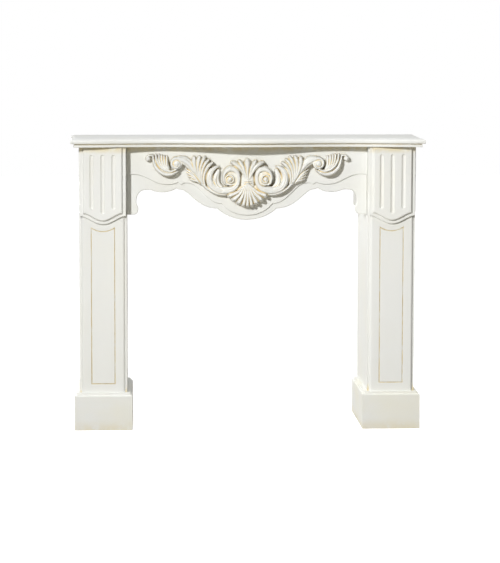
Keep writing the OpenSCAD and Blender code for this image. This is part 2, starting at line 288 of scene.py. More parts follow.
def patina_and_shade_group():
    """Gold-brown patina, or painted shade under the shelf, where a mask says so, broken up by fine noise.
    """
    group, source, sink = new_group(
        "patina_and_painted_shade",
        [("Color", "NodeSocketColor", (*PAINT, 1)), ("Patina", "NodeSocketColor", (*PATINA_AND_SHADE_TONE, 1)),
         ("Mask", "NodeSocketFloat", 0.0), ("Strength", "NodeSocketFloat", 0.8)],
        [("Color", "NodeSocketColor")])
    nodes, links = group.nodes, group.links
    place = nodes.new("ShaderNodeTexCoord").outputs["Object"]
    patches = ramp(nodes, links, noise(nodes, links, place, 28, 5, 0.65), 0.25, 0.62)
    worn = maths(nodes, links, "MULTIPLY", patches, source.outputs["Mask"])
    shown = maths(nodes, links, "MULTIPLY", worn, source.outputs["Strength"])
    links.new(colour_mix(nodes, links, shown, source.outputs["Color"], source.outputs["Patina"]),
              sink.inputs["Color"])
    return group


BRUSHED_PAINT = brushed_paint_group()
PATINA_AND_PAINTED_SHADE = patina_and_shade_group()

# Heights in metres at which patina begins and is full; for "high" it is painted shade under the shelf
# instead.
MASK_LEVELS = {
    "low": (0.045, -0.01),
    # high: painted shade on the frieze and capitals just under the shelf, where the shelf's shadow falls
    "high": ((top_z - 28) * MM, (top_z - 4) * MM),
    "foot": (0.165, 0.125)}


def painted(name, drift, strength, mask="none", bump=0.08, patina=PATINA_AND_SHADE_TONE):
    """A satin paint. mask says where patina lies: "low" near the floor, "foot" towards the
    plinth's ledge, "all", "none" or an attribute's name; "high" gives painted shade under the shelf."""
    material = bpy.data.materials.new(name)
    material.use_nodes = True
    nodes, links = material.node_tree.nodes, material.node_tree.links
    shader = nodes["Principled BSDF"]
    shader.inputs["IOR"].default_value = 1.45
    shader.inputs["Specular IOR Level"].default_value = 0.35
    paint = nodes.new("ShaderNodeGroup")
    paint.node_tree = BRUSHED_PAINT
    paint.inputs["Drift"].default_value = drift
    # mixes in real patina, or painted shade where the mask is "high"
    patina_or_shade_mix = nodes.new("ShaderNodeGroup")
    patina_or_shade_mix.node_tree = PATINA_AND_PAINTED_SHADE
    patina_or_shade_mix.inputs["Patina"].default_value = (*patina, 1)
    patina_or_shade_mix.inputs["Strength"].default_value = strength
    links.new(paint.outputs["Color"], patina_or_shade_mix.inputs["Color"])
    if mask in MASK_LEVELS:
        split = nodes.new("ShaderNodeSeparateXYZ")
        links.new(nodes.new("ShaderNodeTexCoord").outputs["Object"], split.inputs[0])
        links.new(ramp(nodes, links, split.outputs["Z"], *MASK_LEVELS[mask]), patina_or_shade_mix.inputs["Mask"])
    elif mask == "all":
        patina_or_shade_mix.inputs["Mask"].default_value = 1
    elif mask != "none":
        hollow = nodes.new("ShaderNodeAttribute")
        hollow.attribute_name = mask
        links.new(hollow.outputs["Fac"], patina_or_shade_mix.inputs["Mask"])
    links.new(patina_or_shade_mix.outputs["Color"], shader.inputs["Base Color"])
    links.new(paint.outputs["Roughness"], shader.inputs["Roughness"])
    relief = nodes.new("ShaderNodeBump")
    relief.inputs["Strength"].default_value = bump
    relief.inputs["Distance"].default_value = 0.0004
    links.new(paint.outputs["Height"], relief.inputs["Height"])
    links.new(relief.outputs["Normal"], shader.inputs["Normal"])
    return material


BOARD = painted("cream_board", 0.25, 0.0)
# painted shade: darker, warmer paint over the top of the frieze and capitals, just under the shelf where
# its shadow falls
SHADE_UNDER_SHELF = painted("cream_front_shade_under_shelf", 0.25, 0.65, "high")
LINE = painted("patina_line", 0.3, 0.75, "all")
FILLET = painted("cream_fillet", 0.25, 0.9, "foot")
COVE = painted("cove_patina", 0.3, 0.42, "all")
FLUTES = painted("flute_paint", 0.3, 0.05, "all")
FOOT = painted("cream_plinth", 0.65, 0.4, "low")
CASTING = painted("cream_casting", 0.3, 1.0, "hollow", 0.12, GOLD)

# ------------------------------------------------------------------ shelf

WAIST_X = 306
WAIST_IN = 40
MIDDLE_IN = 6
NOSE_R = 5.5
NOSE_HALF_H = 7
BAND_IN = 10
BAND_H = 8
SLOPE_IN = 11
SLOPE_H = 4
END_HOLLOW = 5
END_FLARE = 16


def make_shelf():
    """A moulded board whose front runs in and out; level outlines stacked up its profile."""
    half = shelf_high[0] - END_FLARE
    thick = shelf_high[2] - shelf_low[2]
    front_steps = 220
    end_steps = 24

    def draw_back(x):
        x = abs(x)
        if x < WAIST_X:
            return mix(MIDDLE_IN, WAIST_IN, (1 - math.cos(math.pi * x / WAIST_X)) / 2)
        return mix(WAIST_IN, 0, (1 - math.cos(math.pi * (x - WAIST_X) / (half - WAIST_X))) / 2)

    def outline(step_in):
        end = []
        for i in range(end_steps + 1):
            t = i / end_steps
            x = half - END_HOLLOW * math.sin(math.pi * math.sqrt(t)) + END_FLARE * t
            end.append((x - step_in, mix(front_y + step_in, wall_y, t)))
        front = []
        for i in range(1, front_steps):
            x = mix(-half, half, i / front_steps)
            front.append((x * (1 - step_in / half), front_y + draw_back(x) + step_in))
        return [(-x, y) for x, y in reversed(end)] + front + end

    nose_z = thick - SLOPE_H - NOSE_HALF_H
    cove_r = nose_z - NOSE_HALF_H - BAND_H - 1
    profile = [(BAND_IN + 1.5, 0), (BAND_IN + 0.4, 0.4), (BAND_IN, 1.5), (BAND_IN, BAND_H - 0.8),
               (BAND_IN + 0.8, BAND_H)]
    profile += [(BAND_IN + 2.6 - 0.4 * t, BAND_H + 0.3 + cove_r * t) for t in (0, 0.5, 0.8)]
    profile += [(BAND_IN + 0.6, nose_z - NOSE_HALF_H - 0.2)]
    profile += [(NOSE_R * (1 - abs(math.cos(a)) ** 0.6), nose_z + NOSE_HALF_H * math.sin(a))
                for a in np.radians(np.arange(-90, 91, 10))]
    rise = thick - nose_z - NOSE_HALF_H
    profile += [(NOSE_R + SLOPE_IN * t, nose_z + NOSE_HALF_H + rise * math.sin(math.pi * t / 2) ** 1.2)
                for t in (0.25, 0.5, 0.75, 1)]
    profile += [(NOSE_R + SLOPE_IN + 4, thick)]
    rings = [[(x, y, top_z + z) for x, y in outline(step_in)] for step_in, z in profile]
    shelf = lofted_object("shelf_board", rings, [BOARD, COVE])
    for face in shelf.data.polygons:
        level = face.center.z / MM - top_z
        if BAND_H < level < nose_z - NOSE_HALF_H + 1.2:
            face.material_index = 1
    keep_flats_flat(shelf)
    stand_for(shelf, "painted_board", "shelf")


# ------------------------------------------------------------------ frieze

CUT_HALF = (
    bezier([(0, 258.3), (60, 258.3), (105, 218.5)], 24)
    + bezier([(105, 218.5), (175, 218), (200, 156), (232, 152)], 30)
    + bezier([(232, 152), (240, 152), (247.5, 148)], 5)
    + bezier([(247.5, 148), (268, 161.4), (295, 161.2)], 12)
    + bezier([(295, 161.2), (318, 161.2), (336, 153.3)], 10)
    + bezier([(336, 153.3), (345, 151), (357, 152.9)], 6)
    + bezier([(357, 152.9), (383, 155), (387, 190)], 14)
    + bezier([(387, 190), (387, 204), (380.5, 213)], 7)
    + bezier([(380.5, 213), (378.5, 238), (398, 239.3)], 12)
    + [(398, 239.3), (421, 239.3)])

BORDER_HALF = (
    bezier([(0, 241.4), (55, 241.4), (89, 201)], 20)
    + bezier([(89, 201), (150, 198), (165, 126), (215, 128)], 30)
    + [(215, 128), (224, 129), (230, 134.6), (242.5, 125.8)]
    + bezier([(242.5, 125.8), (255, 133.5), (280, 133.5)], 10)[1:]
    + bezier([(280, 133.5), (330, 133.5), (350, 98), (399, 97.5)], 28)
    + bezier([(399, 97.5), (412, 97.5), (421, 102)], 6)
    + [(421, 102)])


def hanging_outline(half):
    """The frieze's closed outline from one half of its lower edge."""
    right = [(x, top_z - drop) for x, drop in half]
    left = [(-x, z) for x, z in reversed(right[1:])]
    return left + right + [(half_opening, top_z), (-half_opening, top_z)]


def rounded_plate(name, outline, back_y, face_y, edge_r, materials, steps=6):
    """A plate with a quarter-round front edge, from a closed outline of (across, height)."""
    rings = [[(x, back_y, z) for x, z in outline]]
    for i in range(steps + 1):
        a = math.pi / 2 * i / steps
        ring = inset(outline, edge_r * (1 - math.cos(a)))
        rings.append([(x, face_y + edge_r * (1 - math.sin(a)), z) for x, z in ring])
    return lofted_object(name, rings, materials)


def make_frieze():
    """The cut-out board with its raised field."""
    # the frieze carries painted shade along its top, under the shelf
    board = rounded_plate("frieze_board", hanging_outline(CUT_HALF), frieze_high[1], frieze_y, 3.5,
                          [SHADE_UNDER_SHELF, LINE])
    field = rounded_plate("raised_field", hanging_outline(BORDER_HALF), frieze_y + 2, field_y, 2.0,
                          [SHADE_UNDER_SHELF, LINE], 4)
    combine(board, [field], "UNION")
    keep_flats_flat(board)
    stand_for(board, "painted_board", "frieze")


# ------------------------------------------------------------------ legs

SIDE_NAMES = {-1: "left", 1: "right"}
FILLET_W = 7
RAISE_H = 7
OVOLO_W = 9
PANEL_W = 81
PANEL_FROM = 31
PANEL_DROP = 281
PANEL_SAG = 13
GROOVE_W = 3.6
GROOVE_D = 3
BACKING_DROP = 239
BEHIND_CAPITAL = 12
BOARD_T = 18
MOULDING_W = 7.5
MOULDING_H = 8
LEDGE_H = 7


def groove_cutter(x, low, high):
    """A V-shaped band along the panel's outline: two uprights, a level foot and a sagging top."""
    half = PANEL_W / 2
    over = 1.0
    wide = GROOVE_W / 2 * (1 + over / GROOVE_D)
    arc_r = (half * half + PANEL_SAG * PANEL_SAG) / (2 * PANEL_SAG)
    swing = math.asin(half / arc_r)
    hub = high - PANEL_SAG + arc_r
    outline = [(x - half, low), (x + half, low)]
    outline += [(x + arc_r * math.sin(a), hub - arc_r * math.cos(a))
                for a in np.linspace(swing, -swing, 25)]
    n = len(outline)
    verts = [(across, y, z) for loop, y in ((inset(outline, -wide), shaft_y - over),
                                            (outline, shaft_y + GROOVE_D),
                                            (inset(outline, wide), shaft_y - over))
             for across, z in loop]
    faces = []
    for row in range(3):
        a, b = row * n, (row + 1) % 3 * n
        faces += [(a + i, a + (i + 1) % n, b + (i + 1) % n, b + i) for i in range(n)]
    cutter = make_object("groove", verts, faces, [LINE, LINE])
    outward(cutter)
    for face in cutter.data.polygons:
        face.material_index = 1
    return cutter


def make_pilaster(side):
    """The front board of a leg: rounded raised face, plain behind the capital."""
    x = leg_x * side
    back = front_high[1] - front_low[1]
    half = leg_w / 2
    raised = half - FILLET_W - OVOLO_W
    shoulder = RAISE_H - back
    moulded = [(half, 0), (half, shoulder)]
    moulded += [(raised + OVOLO_W * math.cos(a), shoulder - RAISE_H * math.sin(a))
                for a in np.radians(np.arange(0, 91, 9))]
    plain = [(half, 0), (half, shoulder)]
    plain += [(half, mix(shoulder, -back, i / 5)) for i in range(1, 6)]
    plain += [(mix(half, raised, i / 6), -back) for i in range(1, 7)]
    plain_z = top_z - BACKING_DROP + BEHIND_CAPITAL
    rings = []
    for right, z in ((moulded, front_low[2]), (moulded, plain_z), (plain, plain_z), (plain, top_z)):
        section = right + [(-u, v) for u, v in reversed(right)]
        rings.append([(x + u, front_high[1] + v, z) for u, v in section])
    name = SIDE_NAMES[side]
    board = lofted_object(name + "_front_board", rings, [BOARD, LINE, FILLET])
    for face in board.data.polygons:
        if face.normal.y < -0.9 and abs(face.center.y / MM - front_high[1] - shoulder) < 1:
            face.material_index = 2
    combine(board, [groove_cutter(x, front_low[2] + PANEL_FROM, top_z - PANEL_DROP)], "DIFFERENCE")
    board.data.set_sharp_from_angle(angle=math.radians(CUT_ANGLE))
    keep_flats_flat(board)
    stand_for(board, "painted_board", name + "_pilaster_front")


def make_plinth(side):
    """A hollow box with a rounded moulding, open below and towards the wall."""
    low, high = corners("right_plinth")
    x = leg_x * side
    half = (high[0] - low[0]) / 2
    face_h = high[2] - LEDGE_H - MOULDING_H
    profile = [(0, 0), (0, face_h - 1.2), (0.4, face_h - 0.3)]
    profile += [(MOULDING_W * (1 - math.cos(a) ** 0.55), face_h + MOULDING_H * math.sin(a) ** 0.8)
                for a in np.radians(np.arange(9, 91, 9))]
    profile += [(MOULDING_W, high[2] - 0.6), (MOULDING_W + 0.6, high[2])]
    rings = [[(x - half + s, wall_y, z), (x - half + s, low[1] + s, z),
              (x + half - s, low[1] + s, z), (x + half - s, wall_y, z)] for s, z in profile]
    name = SIDE_NAMES[side]
    box = lofted_object(name + "_plinth_box", rings, [FOOT])
    inner = half - BOARD_T
    past = 5
    cavity = lofted_object("cavity", [
        [(x - inner, wall_y + past, z), (x - inner, low[1] + BOARD_T, z),
         (x + inner, low[1] + BOARD_T, z), (x + inner, wall_y + past, z)]
        for z in (-past, high[2] - BOARD_T)], [FOOT])
    combine(box, [cavity], "DIFFERENCE")
    box.data.set_sharp_from_angle(angle=math.radians(CUT_ANGLE))
    soften(box)
    keep_flats_flat(box)
    stand_for(box, "painted_plinth", name + "_plinth")


# ------------------------------------------------------------------ capitals

PLATE_W = 136
PLATE_T = 9
PLATE_EDGE = 6
BACKING_T = 9
BACKING_SAG = 29
PLATE_DROP = 230.5
PLATE_SAG = 26
FLUTE_W = 14.5
FLUTE_D = 4
FLUTE_PITCH = 38
FLUTE_FROM = 26
FLUTE_TO = 216
FLUTE_SAG = 16.5


def ogee_outline(x, width, drop, sag, steps=40):
    """A block that hangs from the shelf and ends in an ogee, anticlockwise from the front."""
    edge = []
    for i in range(2 * steps + 1):
        t = i / steps - 1
        hang = ((1 + math.cos(math.pi * t)) / 2) ** 0.85
        edge.append((x + t * width / 2, top_z - drop - sag * hang))
    return edge + [(x + width / 2, top_z), (x - width / 2, top_z)]


def flute_cutter(x, face_y, low, high):
    """A round bar with round ends, sunk into the plate's face."""
    r = (FLUTE_W ** 2 / 4 + FLUTE_D ** 2) / (2 * FLUTE_D)
    hub_y = face_y + FLUTE_D - r
    around = 48
    rings = []
    for z, start, end in ((low + FLUTE_W / 2, -90, 0), (high - FLUTE_W / 2, 0, 90)):
        for a in np.radians(np.linspace(start, end, 9)):
            ring_r = max(r * math.cos(a), 0.05)
            rings.append([(x + ring_r * math.cos(b), hub_y + ring_r * math.sin(b), z + r * math.sin(a))
                          for b in np.linspace(0, 2 * math.pi, around, endpoint=False)])
    cutter = lofted_object("flute", rings, [FLUTES, FLUTES])
    for face in cutter.data.polygons:
        face.material_index = 1
    return cutter


def make_capital(side):
    """A backing and a fluted plate, both ending in an ogee."""
    x = leg_x * side
    low, high = corners("right_capital")
    backing_y = shaft_y - BACKING_T
    name = SIDE_NAMES[side]
    # the capital's top carries painted shade under the shelf
    both = [SHADE_UNDER_SHELF, FLUTES]
    backing = rounded_plate(name + "_fluted_capital",
                            ogee_outline(x, high[0] - low[0], BACKING_DROP, BACKING_SAG),
                            shaft_y, backing_y, 1.0, both, 3)
    plate = rounded_plate("plate", ogee_outline(x, PLATE_W, PLATE_DROP, PLATE_SAG),
                          backing_y + 2, backing_y - PLATE_T, PLATE_EDGE, both, 9)
    cutters = []
    for i in (-1, 0, 1):
        bottom = top_z - FLUTE_TO - (FLUTE_SAG if i == 0 else 0)
        cutters.append(flute_cutter(x + i * FLUTE_PITCH, low[1], bottom, top_z - FLUTE_FROM))
    combine(plate, cutters, "DIFFERENCE")
    combine(backing, [plate], "UNION")
    backing.data.set_sharp_from_angle(angle=math.radians(CUT_ANGLE))
    keep_flats_flat(backing)
    stand_for(backing, "painted_board", name + "_capital")


def finish_plain_boards():
    """The legs' side boards and the battens keep their shape and get paint and soft edges."""
    for side in SIDE_NAMES.values():
        for board in ("_inner_cheek", "_outer_cheek", "_batten"):
            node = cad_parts[side + board]
            node.data.materials.clear()
            node.data.materials.append(BOARD)
            soften(node)


# ------------------------------------------------------------------ ornament

# One half of the casting is drawn as heights over a grid. Points are (across from the
# middle, up from the centre line). A stroke's half widths, and its heights above the
# frieze's raised field, are spread evenly along it.
CELL = 0.9
HALF_ACROSS = 362
LOWEST = -104
HIGHEST = 104
ORNAMENT_DROP = 119.3
RIM_H = 1.2
SUNK = 0.4

# Patina gathers where the relief lies below its own blur. REACH is the blur's radius, and
# DEPTH is how far below it the patina is full.
LINE_REACH, LINE_DEPTH = 2.2, 2.2
GAP_REACH, GAP_DEPTH = 7, 12

columns = int(HALF_ACROSS / CELL)
rows = int((HIGHEST - LOWEST) / CELL)
relief = np.zeros((rows, columns))
across = (np.arange(columns) * CELL)[None, :]
upward = (LOWEST + np.arange(rows) * CELL)[:, None]


def smooth_path(points, steps):
    """A Catmull-Rom curve through the points."""
    pts = np.array(points, float)
    pts = np.vstack([2 * pts[0] - pts[1], pts, 2 * pts[-1] - pts[-2]])
    row = []
    for t in np.linspace(0, len(pts) - 3, steps + 1):
        i = min(int(t), len(pts) - 4)
        f = t - i
        a, b, c, d = pts[i:i + 4]
        row.append(b + 0.5 * f * (c - a + f * (2 * a - 5 * b + 4 * c - d + f * (3 * (b - c) + d - a))))
    return np.array(row)


def along(values, t):
    """Values spread evenly over 0..1, blended in straight steps."""
    return np.interp(t, np.linspace(0, 1, len(values)), values)


def carve(points, widths, heights, ribs=0, rib_depth=0.0, dish=0.0, crown=2.4):
    """Raises one leaf or band along a path. ribs stand along it, dish hollows its middle, and
    a larger crown makes it flatter on top."""
    path = smooth_path(points, 14 * (len(points) - 1))
    last = len(path) - 1
    for i in range(last):
        a, b = path[i], path[i + 1]
        t = i / last
        reach = max(along(widths, t), along(widths, (i + 1) / last)) + 2
        c0 = max(int((min(a[0], b[0]) - reach) / CELL), 0)
        c1 = min(int((max(a[0], b[0]) + reach) / CELL) + 2, columns)
        r0 = max(int((min(a[1], b[1]) - reach - LOWEST) / CELL), 0)
        r1 = min(int((max(a[1], b[1]) + reach - LOWEST) / CELL) + 2, rows)
        if c1 <= c0 or r1 <= r0:
            continue
        u = across[:, c0:c1] - a[0]
        v = upward[r0:r1] - a[1]
        d = b - a
        size = float(d @ d)
        f = np.clip((u * d[0] + v * d[1]) / size, 0, 1)
        off_u, off_v = u - f * d[0], v - f * d[1]
        gap = np.hypot(off_u, off_v)
        side = np.sign(off_u * -d[1] + off_v * d[0])
        t_here = (i + f) / last
        s = gap / np.maximum(along(widths, t_here), 0.5)
        shape = np.maximum(1 - np.minimum(s, 1) ** crown, 0) ** 0.5
        tall = along(heights, t_here) * shape
        if dish:
            tall = tall - dish * np.maximum(1 - (s / 0.75) ** 2, 0)
        if ribs:
            wave = 0.5 - 0.5 * np.cos(math.pi * (s * side + 1) * (ribs + 1))
            fade = np.minimum(1, 6 * np.minimum(t_here, 1 - t_here)) * (s < 0.93)
            tall = tall - rib_depth * (1 - wave) * fade
        tall = np.where(s < 1, tall, 0)
        part = relief[r0:r1, c0:c1]
        np.maximum(part, tall, out=part)


def dome(centre, radius, height, foot):
    """A round eye; foot is the height at its rim."""
    gap = np.hypot(across - centre[0], upward - centre[1]) / radius
    shape = np.sqrt(np.maximum(1 - gap ** 2, 0))
    tall = np.where(gap < 1, foot + (height - foot) * shape, 0)
    np.maximum(relief, tall, out=relief)


def score(points, half_width, depth):
    """Cuts a V-shaped line into what is there."""
    path = smooth_path(points, 12 * (len(points) - 1))
    nearest = np.full(relief.shape, 1e9)
    for a, b in zip(path, path[1:]):
        d = b - a
        f = np.clip(((across - a[0]) * d[0] + (upward - a[1]) * d[1]) / float(d @ d), 0, 1)
        np.minimum(nearest, np.hypot(across - a[0] - f * d[0], upward - a[1] - f * d[1]), out=nearest)
    cut = depth * np.maximum(1 - nearest / half_width, 0)
    np.copyto(relief, np.where(relief > 2, np.maximum(relief - cut, 2), relief))


def great_scroll():
    """The C-shaped leaf beside the shell that winds up into the large volute."""
    # lower rib that runs under the band from the leaves to the shell
    carve([(163, 0), (152, -15), (131, -33), (105, -45), (80, -48.5), (64, -46)],
          (3, 5, 6, 6, 5, 2), (14, 23, 26, 27, 25, 18))
    carve([(99, 50), (112, 46), (127, 32), (133, 8), (128, -12), (115, -26), (96, -33), (75, -33.5),
           (52, -28), (37, -14), (31.5, 7), (35, 28), (46, 39), (61, 41)],
          (2, 7, 11, 13, 13.5, 13.5, 14.5, 15.5, 13, 9.5, 8.5, 9.5, 11, 12),
          (24, 28, 31, 33, 34, 34, 35, 36, 38, 39, 39, 40, 41, 41), dish=1.2, crown=3.2)
    carve([(61, 41), (74, 34), (81.5, 21), (83, 6), (79, -8), (71, -16)],
          (12, 9.5, 6.5, 5.4, 4.4, 2), (41, 42, 41, 40, 38, 34), crown=2.8)
    dome((60, 8), 25, 34, 31)
    coil = [(61.5 + mix(17.5, 9, t) * math.cos(math.radians(mix(330, 700, t))),
             6 + mix(17.5, 9, t) * math.sin(math.radians(mix(330, 700, t)))) for t in np.linspace(0, 1, 13)]
    carve(coil, (3.4, 4.6, 4.6, 4.2, 3.6), (36, 41, 43, 44, 44), crown=2.6)
    dome((62, 6.5), 8.2, 49, 38)
    # thin leaf inside the C
    carve([(102, 34), (110, 8), (104, -14), (92, -22)], (8, 13, 13, 8), (16, 20, 22, 24), crown=4)
    carve([(105, 24), (112, 4), (108, -14), (98, -24)], (2, 4.5, 4.5, 2), (20, 27, 29, 30))
    for shift in (0.2, 0.5, 0.78):
        score([(mix(98, 104, shift), mix(49, 55, shift)), (mix(113, 128, shift), mix(32, 45, shift)),
               (mix(121, 145, shift), mix(11, 13, shift)), (mix(117, 141, shift), mix(-8, -14, shift)),
               (mix(106, 124, shift), mix(-21, -37, shift)), (mix(84, 88, shift), mix(-25, -43, shift))],
              1.5, 2.6)
    score([(88, -31), (66, -32), (44, -22), (32, -4), (31, 14)], 1.3, 1.8)


def fanned_leaves():
    """Five leaves that fan up from the root between the two scrolls."""
    # the shared body behind them
    carve([(155, -14), (158, 8), (156, 40), (152, 56)], (5, 14, 26, 22), (20, 24, 22, 14), crown=4)
    tips = [((122, 63), (134, 54), (145, 38), (151, 16), (150, -8), (142, -24)),
            ((135, 73), (146, 62), (155, 43), (159, 18), (157, -6), (149, -20)),
            ((149, 82), (156, 70), (163, 49), (165, 22), (161.5, -3), (154, -16)),
            ((167, 82), (171, 70), (173, 49), (170, 24), (164, 0), (157, -12)),
            ((186, 80), (186, 67), (183, 47), (175, 22), (166, 3), (160, -8))]
    widths = [(5, 7.5, 7, 6, 5, 2), (5, 8, 7, 6, 4.5, 2), (5.5, 8, 7, 5.5, 4, 2), (6.5, 9.5, 8, 6, 4, 2),
              (7, 10, 9, 6.5, 4, 2)]
    for path, width in zip(tips, widths):
        carve(path, width, (32, 36, 33, 29, 25, 14), crown=2.2)
        score(path[:4], 1.2, 2.0)


def small_scroll():
    """The second leaf, wide with three ribs, that ends in the small volute."""
    carve([(160, -14), (171, 8), (186, 34), (202, 56), (219, 70), (238, 77)],
          (3, 7, 11, 16, 17, 10), (12, 20, 27, 31, 33, 34), ribs=3, rib_depth=3.4, crown=3)
    eye = (248, 60)
    turns = [(eye[0] + mix(19, 9, t) * math.cos(math.radians(mix(112, -260, t))),
              eye[1] + mix(19, 9, t) * math.sin(math.radians(mix(112, -260, t))))
             for t in np.linspace(0, 1, 15)]
    carve(turns, (7, 6.2, 5.6, 5, 4.4, 3.8, 3), (34, 34, 35, 36, 37, 38, 38), crown=2.6)
    dome(eye, 21, 31, 27)
    dome(eye, 9.5, 41, 34)
    score([(eye[0] - 2, eye[1] - 1), (eye[0] + 4, eye[1] - 4), (eye[0] + 5, eye[1] + 3)], 1.2, 2.4)
    for i in range(4):
        carve([(213 - 4 * i, 38 - 11 * i), (200 - 4 * i, 30 - 9.5 * i), (184 - 4 * i, 15 - 6 * i),
               (166, -4 - 2.5 * i)], (3.4, 5.2, 4.8, 2.4), (15, 23, 24, 18), crown=2)


def crescent():
    """The leaf that curls under the small volute, its ribs and its rolled tip."""
    carve([(330, 90), (326, 68), (317, 46), (301, 30), (280, 22.5), (260, 25), (242, 35)],
          (3, 5.5, 7.5, 8.5, 8.5, 7, 3), (16, 22, 28, 32, 34, 34, 30), crown=2.4)
    carve([(320, 91), (315, 70), (304, 51), (288, 38.5), (269, 33.5), (250, 38)],
          (4, 6, 7, 7, 6, 3), (18, 25, 30, 32, 33, 31), crown=2.2)
    carve([(290, 68), (288, 57), (280, 42)], (10, 16, 12), (12, 20, 28), crown=4)
    for i in range(4):
        top = 308 - 9 * i
        carve([(top, 90 - 2 * i), (top - 2 + 0.5 * i, 70), (top - 10 + 3 * i, 54),
               (top - 22 + 5.5 * i, 43)], (4.4, 5.4, 5.4, 3), (20 - i, 26 - i, 29, 30), crown=2)
    for start, low in ((326, 26), (311, 36)):
        score([(start, 80), (start - 6, 58), (start - 21, low + 13), (start - 45, low),
               (start - 62, low + 1)], 1.1, 1.8)
    carve([(328, 84), (334, 88), (341, 88), (348, 83)], (3, 4, 4.4, 4.4), (17, 19, 22, 22), crown=2)
    dome((346, 76.5), 9.5, 25, 8)


def shell_and_plume():
    """The fluted shell below the middle and the plume of leaves above it."""
    ribs = (((0, -10), (0, -45), (0, -83)), ((3, -10), (7, -45), (13.5, -81)),
            ((6, -12), (15, -44), (29, -73)), ((10, -16), (24, -41), (45, -62)),
            ((14, -20), (35, -39), (60, -50)))
    widths = ((2.5, 5, 7.2), (2.5, 5.4, 7.6), (3, 6.2, 9), (3, 6.6, 9.8), (3, 6.2, 8.6))
    for path, wide in zip(ribs, widths):
        carve([(mix(path[0][0], path[1][0], 0.6), -22), path[1], path[2]], [w + 4 for w in wide],
              (26, 28, 26), crown=4)
    for path, wide in zip(reversed(ribs), reversed(widths)):
        carve(path, wide, (38, 41, 41), crown=3.2)
        score([(mix(path[0][0], path[1][0], 0.7), mix(path[0][1], path[1][1], 0.7)), path[1],
               (mix(path[1][0], path[2][0], 0.8), mix(path[1][1], path[2][1], 0.8))], 1.3, 2.2)
    # the ground between the volutes
    carve([(0, 44), (0, 4), (0, -34)], (17, 25, 27), (30, 33, 31), crown=8)
    # plume, its outer leaves lying over the volutes
    for path, wide, tall in (
            ([(54, 64), (44, 60), (30, 50), (18, 34), (10, 14), (4, -2)], (6, 9, 10, 8, 5, 3),
             (34, 40, 42, 40, 36, 32)),
            ([(29, 69), (23, 61), (14, 44), (8, 22), (4, 0)], (5.5, 9, 8, 5.5, 3), (36, 41, 42, 38, 34)),
            ([(0, 71), (0, 61), (0, 40), (0, 14), (0, -4)], (8, 13, 9, 5.5, 4), (38, 44, 42, 38, 36))):
        carve(path, wide, tall, crown=2.4)
    for line in ([(53, 62), (42, 57), (29, 46), (18, 31)], [(43, 65), (33, 57), (22, 43), (14, 28)],
                 [(28, 67), (20, 54), (12, 36), (7, 18)], [(5.5, 72), (5, 55), (3.4, 36), (2, 12)]):
        score(line, 1.3, 2.4)
    # collar between plume and shell
    carve([(-12, -1), (0, 0), (12, -1)], (2.5, 3.6, 2.5), (38, 42, 38))
    carve([(-13, -8), (0, -7), (13, -8)], (2.5, 3.6, 2.5), (38, 43, 38))


def blurred(field, radius):
    """Gaussian blur with a radius in cells, as repeated passes along both axes."""
    reach = int(3 * radius) + 1
    kernel = np.exp(-0.5 * (np.arange(-reach, reach + 1) / radius) ** 2)
    kernel /= kernel.sum()
    for axis in (0, 1):
        pad = [(0, 0), (0, 0)]
        pad[axis] = (reach, reach)
        wide = np.pad(field, pad, mode="reflect" if axis == 1 else "edge")
        total = np.zeros_like(field)
        for k, weight in enumerate(kernel):
            total += weight * (wide[k:k + field.shape[0]] if axis == 0 else wide[:, k:k + field.shape[1]])
        field = total
    return field


def fill_pinches(cells):
    """Adds cells until none touch at a corner only and no neck is a single edge."""
    for _ in range(8):
        a, b, c, d = cells[:-1, :-1], cells[:-1, 1:], cells[1:, :-1], cells[1:, 1:]
        pinched = (a & d & ~b & ~c) | (b & c & ~a & ~d)
        for quarter in (a, b, c, d):
            quarter |= pinched
        rim = ~np.pad(a & b & c & d, 1)
        upright = cells[:, :-1] & cells[:, 1:] & rim[:-1, 1:-1] & rim[1:, 1:-1]
        cells[:-1, :-1] |= upright[1:]
        cells[:-1, 1:] |= upright[1:]
        level = cells[:-1] & cells[1:] & rim[1:-1, :-1] & rim[1:-1, 1:]
        cells[:-1, 1:] |= level[:, :-1]
        cells[1:, 1:] |= level[:, :-1]


def back_faces(cells, ids):
    """Flat triangles over the cells' area that use only the points on its rim."""
    padded = np.pad(cells, 1)
    r, c = np.nonzero(padded[1:-1, :-1] != padded[1:-1, 1:])
    pairs = [((i, j), (i + 1, j)) for i, j in zip(r.tolist(), c.tolist())]
    r, c = np.nonzero(padded[:-1, 1:-1] != padded[1:, 1:-1])
    pairs += [((i, j), (i, j + 1)) for i, j in zip(r.tolist(), c.tolist())]
    points = sorted({p for pair in pairs for p in pair})
    order = {p: k for k, p in enumerate(points)}
    flat, _, triangles, origins, _, _ = delaunay_2d_cdt(
        [Vector((j, i)) for i, j in points], [(order[a], order[b]) for a, b in pairs], [], 1, 1e-6)
    faces = []
    for triangle in triangles:
        middle = sum((flat[k] for k in triangle), Vector((0, 0))) / 3
        if cells[int(middle.y), int(middle.x)]:
            faces.append([int(ids[points[origins[k][0]]]) for k in reversed(triangle)])
    return faces


